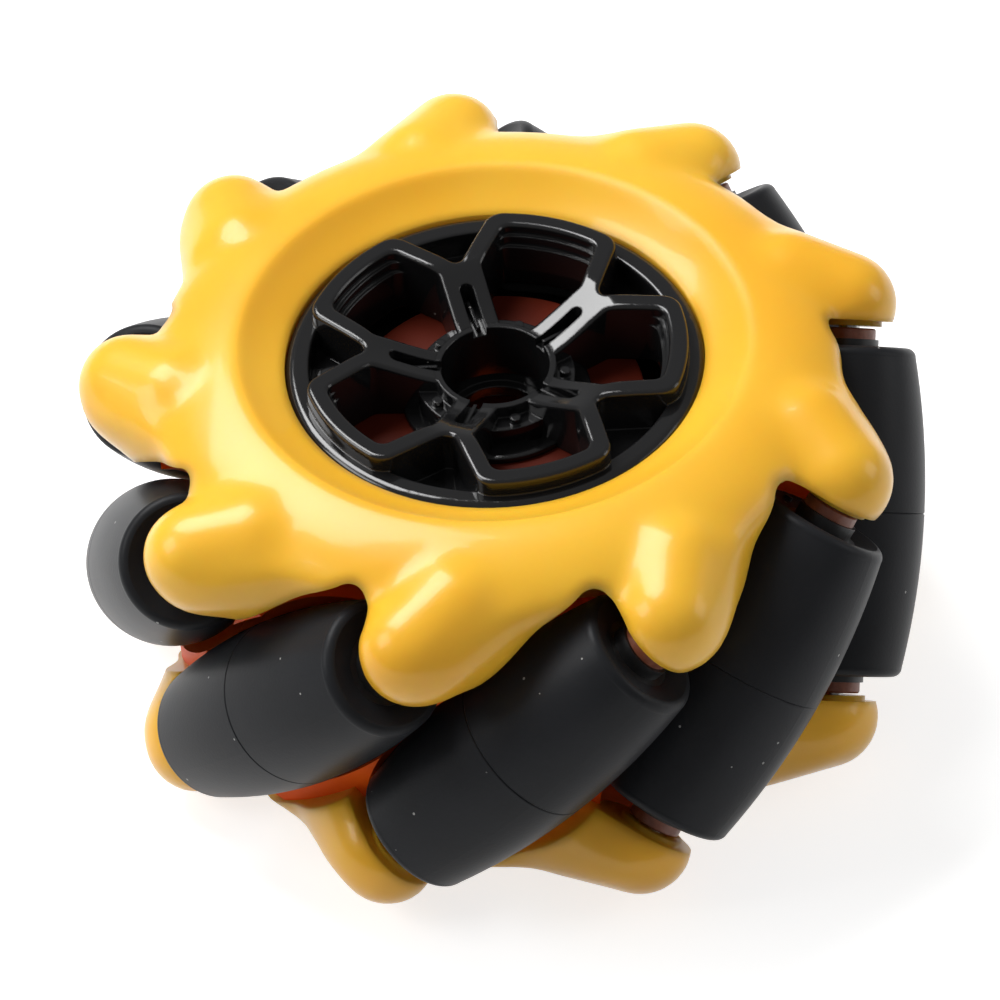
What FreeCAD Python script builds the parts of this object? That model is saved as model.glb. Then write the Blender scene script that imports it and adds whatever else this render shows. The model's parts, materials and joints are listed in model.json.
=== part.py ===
"""Mecanum wheel: two lobed side plates, a core drum, two hub pieces and nine skewed barrel rollers.

Millimetres. The origin is the wheel's centre. +Z is the axle line, towards the front face.
Roller 1 stands on +X, and the others follow every 40 degrees about +Z.
Pieces of a roller are drawn along Z about the origin and then laid on that roller's own axis.
"""
import FreeCAD, Part
import math
import os

from FreeCAD import Placement, Rotation, Vector

# Wheel and roller layout
WHEEL_RADIUS = 40.0
ROLLER_COUNT = 9
ROLLER_SKEW = 45.0
ROLLER_MID_RADIUS = 7.9
ROLLER_HALF_LENGTH = 15.5
BARREL_STEPS = 8

# Rubber tread
TREAD_RIM_ROUND = 0.9
TREAD_END_DISH = 0.6
SEAM_WIDTH = 0.24
SEAM_DEPTH = 0.1
GATE_NUB_RADIUS = 0.4
GATE_NUB_HEIGHT = 0.45
GATE_NUB_OFFSET = 4.6

# Roller core, bushes and axle pin
CORE_RADIUS = 3.5
CORE_BORE_RADIUS = 1.3
STUB_RADIUS = 2.85
STUB_LENGTH = 0.65
BUSH_FLANGE_RADIUS = 2.55
BUSH_FLANGE_THICKNESS = 1.05
BUSH_SLEEVE_RADIUS = 1.8
BUSH_SLEEVE_LENGTH = 4.6
BUSH_EDGE = 0.15
PIN_RADIUS = 1.0
PIN_HALF_LENGTH = 21.4
PIN_CHAMFER = 0.2
RUNNING_CLEARANCE = 0.05
SEAT_CLEARANCE = 0.02
SEAT_END_GAP = 0.1

# Side plates: turned features
CREST_RADIUS = 24.2
CREST_HEIGHT = 20.5
CREST_LAND = 0.8
HUB_SEAT_RADIUS = 19.6
HUB_SEAT_HEIGHT = 18.0
BOWL_MID_RADIUS = 21.9
BOWL_MID_HEIGHT = 19.15
PLATE_INNER_HEIGHT = 6.5
LOBE_CONE_START = 30.6
LOBE_CONE_SLOPE = 0.533

# Side plates: the ring's shoulder is a quarter of a superellipse, given by its centre, sizes and power
RING_CENTRE = (24.20, 16.50)
RING_HALF = (8.05, 4.00)
RING_POWER = 1.65

# Side plates: balls on the roller's axes. A cone wraps tip and mound as a thumb, another root and flank
LOBE_TIP = (Vector(-0.53, -0.38, 19.42), 4.98)
LOBE_MOUND = (Vector(-5.90, -0.30, 20.90), 5.20)
LOBE_ROOT = (Vector(-3.21, 0.66, 20.16), 3.97)
LOBE_FLANK = (Vector(-9.26, 3.40, 19.46), 3.78)
FLANK_BLEND = 3.65
THUMB_BLEND = (1.10, 3.95)
THUMB_BLEND_SPAN = (-0.5, 4.0)

# Side plates: the skin is sampled on rays from a spine circle inside the ring
SPINE = (24.6, 9.5)
SKIN_COLUMNS = 24
SKIN_FIRST_RAY = 90
SKIN_LAST_RAY = -27
SKIN_RAY_STEP = 3
SKIN_REACH = (2.0, 22.0)
SKIN_FOOT = -5.0
INSIDE_LEVEL = 0.01

# Side plates: faces that hold the roller ends
LOBE_FACE = 17.9
LOBE_BOSS_RADIUS = 3.1
LOBE_BOSS_HEIGHT = 0.5
POCKET_CLEARANCE = 2.5
POCKET_CORNER = 1.9
FACE_ROOM = (18.0, 10.0, 12.0)
FACE_ROOM_START = (-8.0, 2.0)

# Core drum
DRUM_RADIUS = 23.6
DRUM_BORE_RADIUS = 18.4
DRUM_SPIGOT_HEIGHT = 10.0
DRUM_WEB_HALF = 1.25
DRUM_WEB_HOLE_RADIUS = 4.6

# Clamp screws
SCREW_COUNT = 3
SCREW_CIRCLE_RADIUS = 21.5
SCREW_START_ANGLE = 60.0
SCREW_RADIUS = 0.85
SCREW_CLEARANCE = 0.1
SCREW_TOP = 15.0
SCREW_HEAD_RADIUS = 1.5
SCREW_HEAD_HEIGHT = 1.5
SCREW_HEAD_SEAT = -15.8
SCREW_SLOT = (0.5, 0.7)

# Hub insert in the front plate
INSERT_RADIUS = 19.55
INSERT_BOTTOM = 10.1
INSERT_WALL_RADIUS = 17.3
INSERT_BARREL_RADIUS = 17.2
INSERT_SHOULDER = 0.9
INSERT_LIP = 0.3
PETAL_COUNT = 5
PETAL_ANGLE = 4.6
PETAL_HALF_ANGLE = 36.0
WINDOW_INNER_RADIUS = 7.4
WINDOW_OUTER_RADIUS = 16.3
WINDOW_OUTER_HALF_WIDTH = 4.63
WINDOW_FORK_RADIUS = 11.5
WINDOW_CORNER = 1.1
WINDOW_STEP_WIDTH = 0.35
WINDOW_STEP_HEIGHTS = (18.6, 17.5)
STEM_HALF_WIDTH = 2.1
FRAME_RADIUS = 18.1
FRAME_HALF_WIDTH = 6.45
FRAME_FORK_RADIUS = 11.7
FRAME_FORK_ROUND = 0.9
FRAME_HEIGHT = 19.8
FRAME_BOTTOM = 13.0
FRAME_CORNER = 2.0
FRAME_EDGE = 0.4
RAMP_FOOT_HEIGHT = 17.0
RAMP_MID = (11.7, 19.55)
RAMP_END_RADIUS = 14.2
FORK_FLOOR_HEIGHT = 15.2
FORK_FLOOR_THICKNESS = 1.0
TUBE_RADIUS = 5.7
TUBE_BORE_RADIUS = 5.1
TUBE_TOP = 17.1
TUBE_BOTTOM = 9.0
TUBE_LEDGE_TOP = 10.2
TUBE_LEDGE_BORE_RADIUS = 4.2
TUBE_FLANGE_HEIGHT = 15.8
TUBE_FLANGE_THICKNESS = 0.9
KNOB_RADIUS = 0.5
KNOB_HEIGHT = 0.6
KNOB_OFFSET = 6.5
STEM_SLOT_START = 4.0
STEM_SLOT_END = 9.8
STEM_SLOT_WIDTH = 1.3
STEM_SLOT_FLOOR = 16.2
STEM_RIB = (5.4, 9.2, 0.34, 17.05)

# Drive hub in the rear plate
DRIVE_WALL_RADIUS = 16.4
DRIVE_WEB = (-14.0, -12.0)
DRIVE_BOSS_RADIUS = 8.6
DRIVE_BOSS = (-17.4, -1.7)
DRIVE_RIB_COUNT = 5
DRIVE_RIB_THICKNESS = 1.8
DRIVE_RIB_END = -16.8
HEX_ACROSS_FLATS = 12.0
HEX_DEPTH = 6.5
AXLE_BORE_RADIUS = 2.1

# Values worked out from the driving dimensions
ROLLER_AXIS_RADIUS = WHEEL_RADIUS - ROLLER_MID_RADIUS
ROLLER_PITCH = 360.0 / ROLLER_COUNT
STUB_END = ROLLER_HALF_LENGTH + STUB_LENGTH
BUSH_END = STUB_END + BUSH_FLANGE_THICKNESS
BUSH_SLEEVE_END = STUB_END - BUSH_SLEEVE_LENGTH
Z_AXIS = Vector(0, 0, 1)
ORIGIN = Vector(0, 0, 0)
SAFE = 1.0
NEAR = 1e-3


def rz(radius, height):
    """Point of a half section: distance from the axis and height along it."""
    return Vector(radius, 0, height)


def line(start, end):
    """Straight edge."""
    return Part.LineSegment(start, end).toShape()


def arc(start, middle, end):
    """Circular edge through three points."""
    return Part.Arc(start, middle, end).toShape()


def curve(points):
    """Smooth edge through the points."""
    spline = Part.BSplineCurve()
    spline.interpolate(points)
    return spline.toShape()


def revolved(edges):
    """Solid of revolution about Z from a closed half section."""
    return Part.Face(Part.Wire(edges)).revolve(ORIGIN, Z_AXIS, 360)


def turned(corners):
    """Solid of revolution about Z, straight between the (radius, height) corners of its half section."""
    points = [rz(*corner) for corner in corners]
    return Part.Face(Part.makePolygon(points + points[:1])).revolve(ORIGIN, Z_AXIS, 360)


def ring(inner, outer, bottom, top):
    """Plain tube about Z."""
    return turned([(inner, bottom), (outer, bottom), (outer, top), (inner, top)])


def rod(radius, bottom, top):
    """Plain cylinder on the Z axis."""
    return Part.makeCylinder(radius, top - bottom, Vector(0, 0, bottom))


def spun(shape, angle):
    """Copy of a shape turned about the wheel's axle."""
    placed = shape.copy()
    placed.rotate(ORIGIN, Z_AXIS, angle)
    return placed


def fanned(shape, count, start=0.0):
    """Copies of a shape spread evenly about the axle."""
    return [spun(shape, start + 360.0 * i / count) for i in range(count)]


def on_roller(shape, index):
    """Copy of a shape drawn along Z, laid on the axis of the roller with this index."""
    lean = Placement(Vector(ROLLER_AXIS_RADIUS, 0, 0), Rotation(Vector(1, 0, 0), -ROLLER_SKEW))
    spin = Placement(ORIGIN, Rotation(Z_AXIS, ROLLER_PITCH * index))
    placed = shape.copy()
    placed.Placement = spin.multiply(lean).multiply(shape.Placement)
    return placed


def turned_over(shape):
    """Copy of a front piece turned over about roller 1's radial line, so that it faces the rear."""
    placed = shape.copy()
    placed.rotate(ORIGIN, Vector(1, 0, 0), 180)
    return placed


# Barrel form of a roller

def barrel_point(turn_deg, offset=0.0):
    """Point of the roller's barrel that touches the wheel's rim after this turn of the wheel."""
    turn = math.radians(turn_deg)
    skew = math.sin(math.radians(ROLLER_SKEW))
    reach = WHEEL_RADIUS - ROLLER_AXIS_RADIUS / math.cos(turn)
    lean = math.sin(turn) * skew
    along = ROLLER_AXIS_RADIUS * math.tan(turn) / skew + reach * lean
    radius = reach * math.sqrt(1.0 - lean * lean)
    return Vector(radius + offset, 0, along)


def barrel_turn(along):
    """Turn of the wheel at which the rim touches the barrel at this distance along the roller."""
    low, high = 0.0, 30.0
    while high - low > 1e-10:
        middle = (low + high) / 2
        if barrel_point(middle).z < along:
            low = middle
        else:
            high = middle
    return low


def barrel_side(start, end, offset=0.0):
    """Edge along the barrel between two distances from its middle."""
    first = math.copysign(barrel_turn(abs(start)), start)
    last = math.copysign(barrel_turn(abs(end)), end)
    step = (last - first) / BARREL_STEPS
    return curve([barrel_point(first + step * i, offset) for i in range(BARREL_STEPS + 1)])


def roller_tread():
    """Rubber barrel with rounded rims, dished ends, a parting seam and two moulding nubs."""
    end = ROLLER_HALF_LENGTH
    shoulder = end - TREAD_RIM_ROUND
    rim = barrel_point(barrel_turn(shoulder)).x
    flat = rim - TREAD_RIM_ROUND
    bulge = TREAD_RIM_ROUND * math.sqrt(0.5)
    half_seam = SEAM_WIDTH / 2
    seam_edge = barrel_point(barrel_turn(half_seam)).x
    edges = [
        line(rz(CORE_RADIUS, -end + TREAD_END_DISH), rz(flat, -end)),
        arc(rz(flat, -end), rz(flat + bulge, -shoulder - bulge), rz(rim, -shoulder)),
        barrel_side(-shoulder, -half_seam),
        line(rz(seam_edge, -half_seam), rz(seam_edge - SEAM_DEPTH, 0)),
        line(rz(seam_edge - SEAM_DEPTH, 0), rz(seam_edge, half_seam)),
        barrel_side(half_seam, shoulder),
        arc(rz(rim, shoulder), rz(flat + bulge, shoulder + bulge), rz(flat, end)),
        line(rz(flat, end), rz(CORE_RADIUS, end - TREAD_END_DISH)),
        line(rz(CORE_RADIUS, end - TREAD_END_DISH), rz(CORE_RADIUS, -end + TREAD_END_DISH)),
    ]
    nub_length = 2 * GATE_NUB_HEIGHT
    nub = Part.makeCylinder(GATE_NUB_RADIUS, nub_length, Vector(-GATE_NUB_OFFSET, 0, end - nub_length))
    other = nub.copy()
    other.rotate(ORIGIN, Vector(1, 0, 0), 180)
    return revolved(edges).fuse([nub, other]).removeSplitter()


def roller_core():
    """Plastic core: a tube inside the rubber with a stub and a bush seat at each end."""
    inner_end = ROLLER_HALF_LENGTH - TREAD_END_DISH - SEAT_CLEARANCE
    body = CORE_RADIUS - SEAT_CLEARANCE
    seat = BUSH_SLEEVE_RADIUS
    floor = BUSH_SLEEVE_END - SEAT_END_GAP
    return turned([
        (CORE_BORE_RADIUS, -floor), (seat, -floor), (seat, -STUB_END), (STUB_RADIUS, -STUB_END),
        (STUB_RADIUS, -inner_end), (body, -inner_end), (body, inner_end), (STUB_RADIUS, inner_end),
        (STUB_RADIUS, STUB_END), (seat, STUB_END), (seat, floor), (CORE_BORE_RADIUS, floor),
    ])


def front_bush():
    """Flanged bush: its sleeve sits in the core, its flange stands between the core and the lobe."""
    bore = PIN_RADIUS + RUNNING_CLEARANCE
    sleeve = BUSH_SLEEVE_RADIUS - SEAT_CLEARANCE
    start = STUB_END + SEAT_CLEARANCE
    return turned([
        (bore, BUSH_SLEEVE_END), (sleeve, BUSH_SLEEVE_END), (sleeve, start), (BUSH_FLANGE_RADIUS, start),
        (BUSH_FLANGE_RADIUS, BUSH_END - BUSH_EDGE), (BUSH_FLANGE_RADIUS - BUSH_EDGE, BUSH_END),
        (bore, BUSH_END),
    ])


def axle_pin():
    """Steel pin with chamfered ends, held in the lobes of both plates."""
    end = PIN_HALF_LENGTH
    neck = end - PIN_CHAMFER
    tip = PIN_RADIUS - PIN_CHAMFER
    return turned([(0, -end), (tip, -end), (PIN_RADIUS, -neck), (PIN_RADIUS, neck), (tip, end), (0, end)])


# Side plates

def cone_distance(point, ball, other):
    """Distance from a point to two balls wrapped by one cone, negative inside."""
    centre, radius = ball
    span = other[0] - centre
    length = span.Length
    taper = (radius - other[1]) / length
    offset = point - centre
    along = offset.dot(span) / length
    away = math.sqrt(max(offset.dot(offset) - along * along, 0.0))
    foot = along + away * taper / math.sqrt(1.0 - taper * taper)
    foot = min(max(foot, 0.0), length)
    return math.hypot(along - foot, away) - (radius - taper * foot)


def ring_distance(radius, height):
    """Distance from a point of the half plane to the ring's shoulder, negative inside."""
    across = max(radius - RING_CENTRE[0], 0.0) / RING_HALF[0]
    up = max(height - RING_CENTRE[1], 0.0) / RING_HALF[1]
    level = (across ** RING_POWER + up ** RING_POWER) ** (1.0 / RING_POWER)
    if level < INSIDE_LEVEL:
        return -min(RING_HALF)
    steep_across = (across / level) ** (RING_POWER - 1.0) / RING_HALF[0]
    steep_up = (up / level) ** (RING_POWER - 1.0) / RING_HALF[1]
    return (level - 1.0) / math.hypot(steep_across, steep_up)


def blended(first, second, width):
    """Smaller of two distances, rounded off where they come within the blend's width."""
    overlap = max(width - abs(first - second), 0.0) / width
    return min(first, second) - overlap * overlap * width / 4.0


def thumb_blend(side):
    """Width of the blend around a thumb: narrow along its inner end, wide on the side of its flank."""
    narrow, wide = THUMB_BLEND
    start, end = THUMB_BLEND_SPAN
    share = min(max((side - start) / (end - start), 0.0), 1.0)
    return narrow + (wide - narrow) * share * share * (3.0 - 2.0 * share)


def lobe_local(angle, radius, height, index):
    """The same point on the axes of one roller: out from the axle, across the roller and along it."""
    turn = math.radians(angle - index * ROLLER_PITCH)
    tangent = radius * math.sin(turn)
    out = radius * math.cos(turn) - ROLLER_AXIS_RADIUS
    half_root = math.sqrt(0.5)
    return Vector(out, (tangent - height) * half_root, (tangent + height) * half_root)


def skin_distance(angle, radius, height):
    """Distance from the plate's outer skin: the ring, then the nearest flanks, then their thumbs."""
    nearest = round((angle - ROLLER_PITCH / 2) / ROLLER_PITCH)
    points = [lobe_local(angle, radius, height, index) for index in (nearest - 1, nearest, nearest + 1)]
    distance = ring_distance(radius, height)
    for point in points:
        distance = blended(distance, cone_distance(point, LOBE_ROOT, LOBE_FLANK), FLANK_BLEND)
    for point in points:
        distance = blended(distance, cone_distance(point, LOBE_TIP, LOBE_MOUND), thumb_blend(point.y))
    return distance


def skin_point(angle, ray):
    """Where a ray from the spine, at this angle about the axle and this rise, leaves the plate."""
    out, rise = math.cos(math.radians(ray)), math.sin(math.radians(ray))
    low, high = SKIN_REACH
    while high - low > 1e-5:
        middle = (low + high) / 2
        if skin_distance(angle, SPINE[0] + middle * out, SPINE[1] + middle * rise) < 0:
            low = middle
        else:
            high = middle
    return SPINE[0] + low * out, min(SPINE[1] + low * rise, CREST_HEIGHT)


def lobed_blank():
    """Solid under one smooth periodic skin that runs from the crest, over the lobes, down to a foot."""
    rays = range(SKIN_FIRST_RAY, SKIN_LAST_RAY - 1, -SKIN_RAY_STEP)
    pitch = []
    for column in range(SKIN_COLUMNS):
        angle = ROLLER_PITCH * column / SKIN_COLUMNS
        section = [skin_point(angle, ray) for ray in rays]
        section[0] = (CREST_RADIUS + CREST_LAND / 2, CREST_HEIGHT)
        section.append((section[-1][0], SKIN_FOOT))
        pitch.append(section)
    poles = []
    for column in range(ROLLER_COUNT * SKIN_COLUMNS):
        turn = math.radians(ROLLER_PITCH * column / SKIN_COLUMNS)
        section = pitch[column % SKIN_COLUMNS]
        poles.append([Vector(r * math.cos(turn), r * math.sin(turn), z) for r, z in section])
    around = len(poles)
    down = len(poles[0])
    skin = Part.BSplineSurface()
    skin.buildFromPolesMultsKnots(
        poles,
        [1] * (around + 1), [4] + [1] * (down - 4) + [4],
        list(range(around + 1)), list(range(down - 2)),
        True, False, 3, 3,
    )
    side = skin.toShape()
    caps = [Part.Face(Part.Wire(edge)) for edge in side.Edges if edge.isClosed()]
    shell = Part.makeShell([side] + caps)
    shell.sewShape()
    blank = Part.makeSolid(Part.Shell(shell.Faces))
    if blank.Volume < 0:
        blank.reverse()
    return blank


def bowl_cutter():
    """Turned cutter for the hub seat and the bowl that rises from it to the crest."""
    land = CREST_RADIUS - CREST_LAND / 2
    above = CREST_HEIGHT + SAFE
    below = SKIN_FOOT - SAFE
    seat_edge = rz(HUB_SEAT_RADIUS, HUB_SEAT_HEIGHT)
    crest_edge = rz(land, CREST_HEIGHT)
    return revolved([
        line(rz(0, below), rz(HUB_SEAT_RADIUS, below)),
        line(rz(HUB_SEAT_RADIUS, below), seat_edge),
        arc(seat_edge, rz(BOWL_MID_RADIUS, BOWL_MID_HEIGHT), crest_edge),
        line(crest_edge, rz(land, above)),
        line(rz(land, above), rz(0, above)),
        line(rz(0, above), rz(0, below)),
    ])


def underside_cutter():
    """Turned cutter below the plate: flat at the drum, rising as a cone under the lobes."""
    edge = WHEEL_RADIUS + SAFE
    edge_height = PLATE_INNER_HEIGHT + LOBE_CONE_SLOPE * (edge - LOBE_CONE_START)
    below = SKIN_FOOT - SAFE
    return turned([
        (0, below), (edge, below), (edge, edge_height),
        (LOBE_CONE_START, PLATE_INNER_HEIGHT), (0, PLATE_INNER_HEIGHT),
    ])


def pocket_cutter():
    """Room around one roller, with a rounded corner up to the flat face of its lobe."""
    corner = POCKET_CORNER
    bulge = corner * math.sqrt(0.5)
    side_end = barrel_point(barrel_turn(LOBE_FACE - corner), POCKET_CLEARANCE)
    face_edge = rz(side_end.x - corner, LOBE_FACE)
    corner_mid = rz(side_end.x - corner + bulge, LOBE_FACE - corner + bulge)
    return revolved([
        line(rz(0, LOBE_FACE), face_edge),
        arc(face_edge, corner_mid, side_end),
        barrel_side(side_end.z, -side_end.z, POCKET_CLEARANCE),
        line(rz(side_end.x, -side_end.z), rz(0, -side_end.z)),
        line(rz(0, -side_end.z), rz(0, LOBE_FACE)),
    ])


def face_cutter():
    """Block that clears what would hang below a lobe's flat face, on the side away from the crest."""
    length, width, depth = FACE_ROOM
    return Part.makeBox(length, width, depth, Vector(*FACE_ROOM_START, LOBE_FACE - depth))


def on_rollers(shape):
    """Copies of a shape drawn along Z, one on the axis of every roller."""
    return [on_roller(shape, index) for index in range(ROLLER_COUNT)]


def lobed_plate():
    """Front side plate without its screw holes: the lobes are freed first, then the middle is turned."""
    plate = lobed_blank().cut(on_rollers(pocket_cutter()))
    plate = plate.cut(on_rollers(face_cutter()))
    plate = plate.cut([bowl_cutter(), underside_cutter()])
    boss = rod(LOBE_BOSS_RADIUS, LOBE_FACE - LOBE_BOSS_HEIGHT, LOBE_FACE + SAFE)
    plate = plate.fuse(on_rollers(boss))
    hole = rod(PIN_RADIUS + SEAT_CLEARANCE, 0.0, PIN_HALF_LENGTH + SEAT_END_GAP)
    return plate.cut(on_rollers(hole))


def at_screws(shape):
    """Copies of a shape drawn on the axle, moved out to the clamp screws."""
    moved = shape.copy()
    moved.translate(Vector(SCREW_CIRCLE_RADIUS, 0, 0))
    return fanned(moved, SCREW_COUNT, SCREW_START_ANGLE)


def front_plate(plate):
    """Front plate with blind holes that take the clamp screws' threads."""
    pilot = rod(SCREW_RADIUS + SEAT_CLEARANCE, 0.0, SCREW_TOP + SEAT_END_GAP)
    return plate.cut(at_screws(pilot))


def rear_plate(plate):
    """Rear plate: the same moulding turned over, drilled and counterbored for the clamp screws."""
    shank = rod(SCREW_RADIUS + SCREW_CLEARANCE, -CREST_HEIGHT, 0.0)
    head = rod(SCREW_HEAD_RADIUS + SCREW_CLEARANCE, -CREST_HEIGHT - SAFE, SCREW_HEAD_SEAT)
    return turned_over(plate).cut(at_screws(shank) + at_screws(head))


def clamp_screws():
    """Long slotted screws that draw the two plates together over the drum."""
    seat = SCREW_HEAD_SEAT - SEAT_CLEARANCE
    end = seat - SCREW_HEAD_HEIGHT
    screw = turned([
        (0, end), (SCREW_HEAD_RADIUS, end), (SCREW_HEAD_RADIUS, seat), (SCREW_RADIUS, seat),
        (SCREW_RADIUS, SCREW_TOP - SCREW_RADIUS), (0, SCREW_TOP),
    ])
    width, depth = SCREW_SLOT
    slot = Part.makeBox(4 * SCREW_HEAD_RADIUS, width, depth, Vector(-2 * SCREW_HEAD_RADIUS, -width / 2, end))
    return Part.makeCompound(at_screws(screw.cut(slot)))


# Drum and hub pieces

def core_drum():
    """Spool between the plates: wall, locating spigots, a web across the middle and screw holes."""
    wall = PLATE_INNER_HEIGHT - SEAT_CLEARANCE
    spigot = HUB_SEAT_RADIUS - SEAT_CLEARANCE
    drum = turned([
        (DRUM_BORE_RADIUS, -DRUM_SPIGOT_HEIGHT), (spigot, -DRUM_SPIGOT_HEIGHT), (spigot, -wall),
        (DRUM_RADIUS, -wall), (DRUM_RADIUS, wall), (spigot, wall), (spigot, DRUM_SPIGOT_HEIGHT),
        (DRUM_BORE_RADIUS, DRUM_SPIGOT_HEIGHT), (DRUM_BORE_RADIUS, DRUM_WEB_HALF),
        (DRUM_WEB_HOLE_RADIUS, DRUM_WEB_HALF),
        (DRUM_WEB_HOLE_RADIUS, -DRUM_WEB_HALF), (DRUM_BORE_RADIUS, -DRUM_WEB_HALF),
    ])
    hole = rod(SCREW_RADIUS + SCREW_CLEARANCE, -PLATE_INNER_HEIGHT - SAFE, PLATE_INNER_HEIGHT + SAFE)
    return drum.cut(at_screws(hole))


def prism(edges, bottom, top):
    """Solid with upright walls over a closed outline drawn at height zero."""
    solid = Part.Face(Part.Wire(edges)).extrude(Vector(0, 0, top - bottom))
    solid.translate(Vector(0, 0, bottom))
    return solid


def polar(radius, angle):
    """Plan point at a distance from the axle and an angle from +X."""
    return Vector(radius * math.cos(math.radians(angle)), radius * math.sin(math.radians(angle)), 0)


def mirrored(point):
    """The same plan point on the other side of the petal's middle line."""
    return Vector(point.x, -point.y, point.z)


def rounded_uprights(solid, radius, least_distance):
    """Prism with its upright edges rounded, where they are at least this far from the axle."""
    edges = []
    for edge in solid.Edges:
        start, end = edge.Vertexes[0].Point, edge.Vertexes[-1].Point
        upright = math.hypot(start.x - end.x, start.y - end.y) < NEAR
        if upright and math.hypot(start.x, start.y) > least_distance:
            edges.append(edge)
    return solid.makeFillet(radius, edges)


def beside_stem(radius):
    """Plan point at this distance from the axle, where a window meets the side of a stem."""
    return polar(radius, PETAL_HALF_ANGLE - math.degrees(math.asin(STEM_HALF_WIDTH / radius)))


def along_arm(radius):
    """Plan point at this distance from the axle, on the straight side of a window along an arm."""
    start = beside_stem(WINDOW_FORK_RADIUS)
    corner_angle = math.degrees(math.asin(WINDOW_OUTER_HALF_WIDTH / WINDOW_OUTER_RADIUS))
    run = polar(WINDOW_OUTER_RADIUS, corner_angle) - start
    half = start.dot(run)
    rest = start.dot(start) - radius * radius
    share = (math.sqrt(half * half - run.dot(run) * rest) - half) / run.dot(run)
    return start + run * share


def petal_window(inner_radius, outer_radius, bottom):
    """Upright cutter for one petal, on +X: wider along the stems, slightly narrower between the arms."""
    inner = beside_stem(inner_radius)
    fork = beside_stem(WINDOW_FORK_RADIUS)
    corner = along_arm(outer_radius)
    solid = prism([
        arc(inner, polar(inner_radius, 0), mirrored(inner)),
        line(mirrored(inner), mirrored(fork)),
        line(mirrored(fork), mirrored(corner)),
        arc(mirrored(corner), polar(outer_radius, 0), corner),
        line(corner, fork),
        line(fork, inner),
    ], bottom, FRAME_HEIGHT + SAFE)
    return rounded_uprights(solid, WINDOW_CORNER, WINDOW_INNER_RADIUS + SAFE)


def window_cutters():
    """The stepped opening of one petal: each step down its outer wall stands further in."""
    upper, lower = WINDOW_STEP_HEIGHTS
    through = INSERT_BOTTOM - SAFE
    middle_radius = WINDOW_OUTER_RADIUS - WINDOW_STEP_WIDTH
    return [
        petal_window(TUBE_RADIUS, WINDOW_OUTER_RADIUS, upper),
        petal_window(TUBE_RADIUS, middle_radius, lower),
        petal_window(TUBE_RADIUS, middle_radius - WINDOW_STEP_WIDTH, TUBE_FLANGE_HEIGHT),
        petal_window(WINDOW_INNER_RADIUS, middle_radius - WINDOW_STEP_WIDTH, through),
    ]


def petal_block():
    """Body of one petal's frame, on +X: half of each stem, the arms, rounded forks and the outer bow."""
    corner = polar(FRAME_RADIUS, math.degrees(math.asin(FRAME_HALF_WIDTH / FRAME_RADIUS)))
    fork = polar(FRAME_FORK_RADIUS, PETAL_HALF_ANGLE)
    ray = polar(1.0, PETAL_HALF_ANGLE)
    arm = (corner - fork).normalize()
    half_fork = ray.getAngle(arm)
    centre = fork + ray * (FRAME_FORK_ROUND / math.sin(half_fork))
    fork_end = centre - ray * FRAME_FORK_ROUND
    arm_start = fork + arm * (FRAME_FORK_ROUND / math.tan(half_fork))
    toward = (arm_start - centre).normalize() - ray
    fork_mid = centre + toward.normalize() * FRAME_FORK_ROUND
    solid = prism([
        line(ORIGIN, mirrored(fork_end)),
        arc(mirrored(fork_end), mirrored(fork_mid), mirrored(arm_start)),
        line(mirrored(arm_start), mirrored(corner)),
        arc(mirrored(corner), polar(FRAME_RADIUS, 0), corner),
        line(corner, arm_start),
        arc(arm_start, fork_mid, fork_end),
        line(fork_end, ORIGIN),
    ], FRAME_BOTTOM, FRAME_HEIGHT + SAFE)
    return rounded_uprights(solid, FRAME_CORNER, FRAME_FORK_RADIUS + 2 * SAFE)


def frame_envelope():
    """Turned body that gives the frames their top: a ramp up the stems that runs out into a level bow."""
    foot = FRAME_BOTTOM - SAFE
    edge = FRAME_RADIUS + SAFE
    level = Vector(1, 0, 0)
    foot_end = rz(TUBE_BORE_RADIUS, RAMP_FOOT_HEIGHT)
    points = [rz(0, RAMP_FOOT_HEIGHT), foot_end, rz(*RAMP_MID), rz(RAMP_END_RADIUS, FRAME_HEIGHT)]
    ramp = Part.BSplineCurve()
    ramp.interpolate(points, InitialTangent=level, FinalTangent=level)
    return revolved([
        line(rz(0, foot), rz(0, RAMP_FOOT_HEIGHT)),
        ramp.toShape(),
        line(rz(RAMP_END_RADIUS, FRAME_HEIGHT), rz(edge, FRAME_HEIGHT)),
        line(rz(edge, FRAME_HEIGHT), rz(edge, foot)),
        line(rz(edge, foot), rz(0, foot)),
    ])


def petal_frame():
    """One petal's frame with soft top edges along its window, its arms and its outer bow."""
    frame = petal_block().common(frame_envelope())
    frame = frame.cut(window_cutters() + [rod(TUBE_RADIUS, FRAME_BOTTOM - SAFE, FRAME_HEIGHT + SAFE)])
    edges = []
    for face in frame.Faces:
        level_top = abs(face.BoundBox.ZMin - FRAME_HEIGHT) < NEAR
        ramp = face.Surface.TypeId not in ("Part::GeomPlane", "Part::GeomCylinder")
        if level_top or ramp:
            edges += [edge for edge in face.Edges if is_soft(edge)]
    return frame.makeFillet(FRAME_EDGE, edges)


def is_soft(edge):
    """Whether a top edge of a frame is rounded: not on a stem's middle line, the ramp's end or the tube."""
    middle = edge.valueAt((edge.FirstParameter + edge.LastParameter) / 2)
    radius = math.hypot(middle.x, middle.y)
    angle = abs(math.degrees(math.atan2(middle.y, middle.x)))
    on_stem = abs(angle - PETAL_HALF_ANGLE) < NEAR
    on_circle = min(abs(radius - RAMP_END_RADIUS), abs(radius - TUBE_RADIUS)) < NEAR
    return not on_stem and not on_circle


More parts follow.
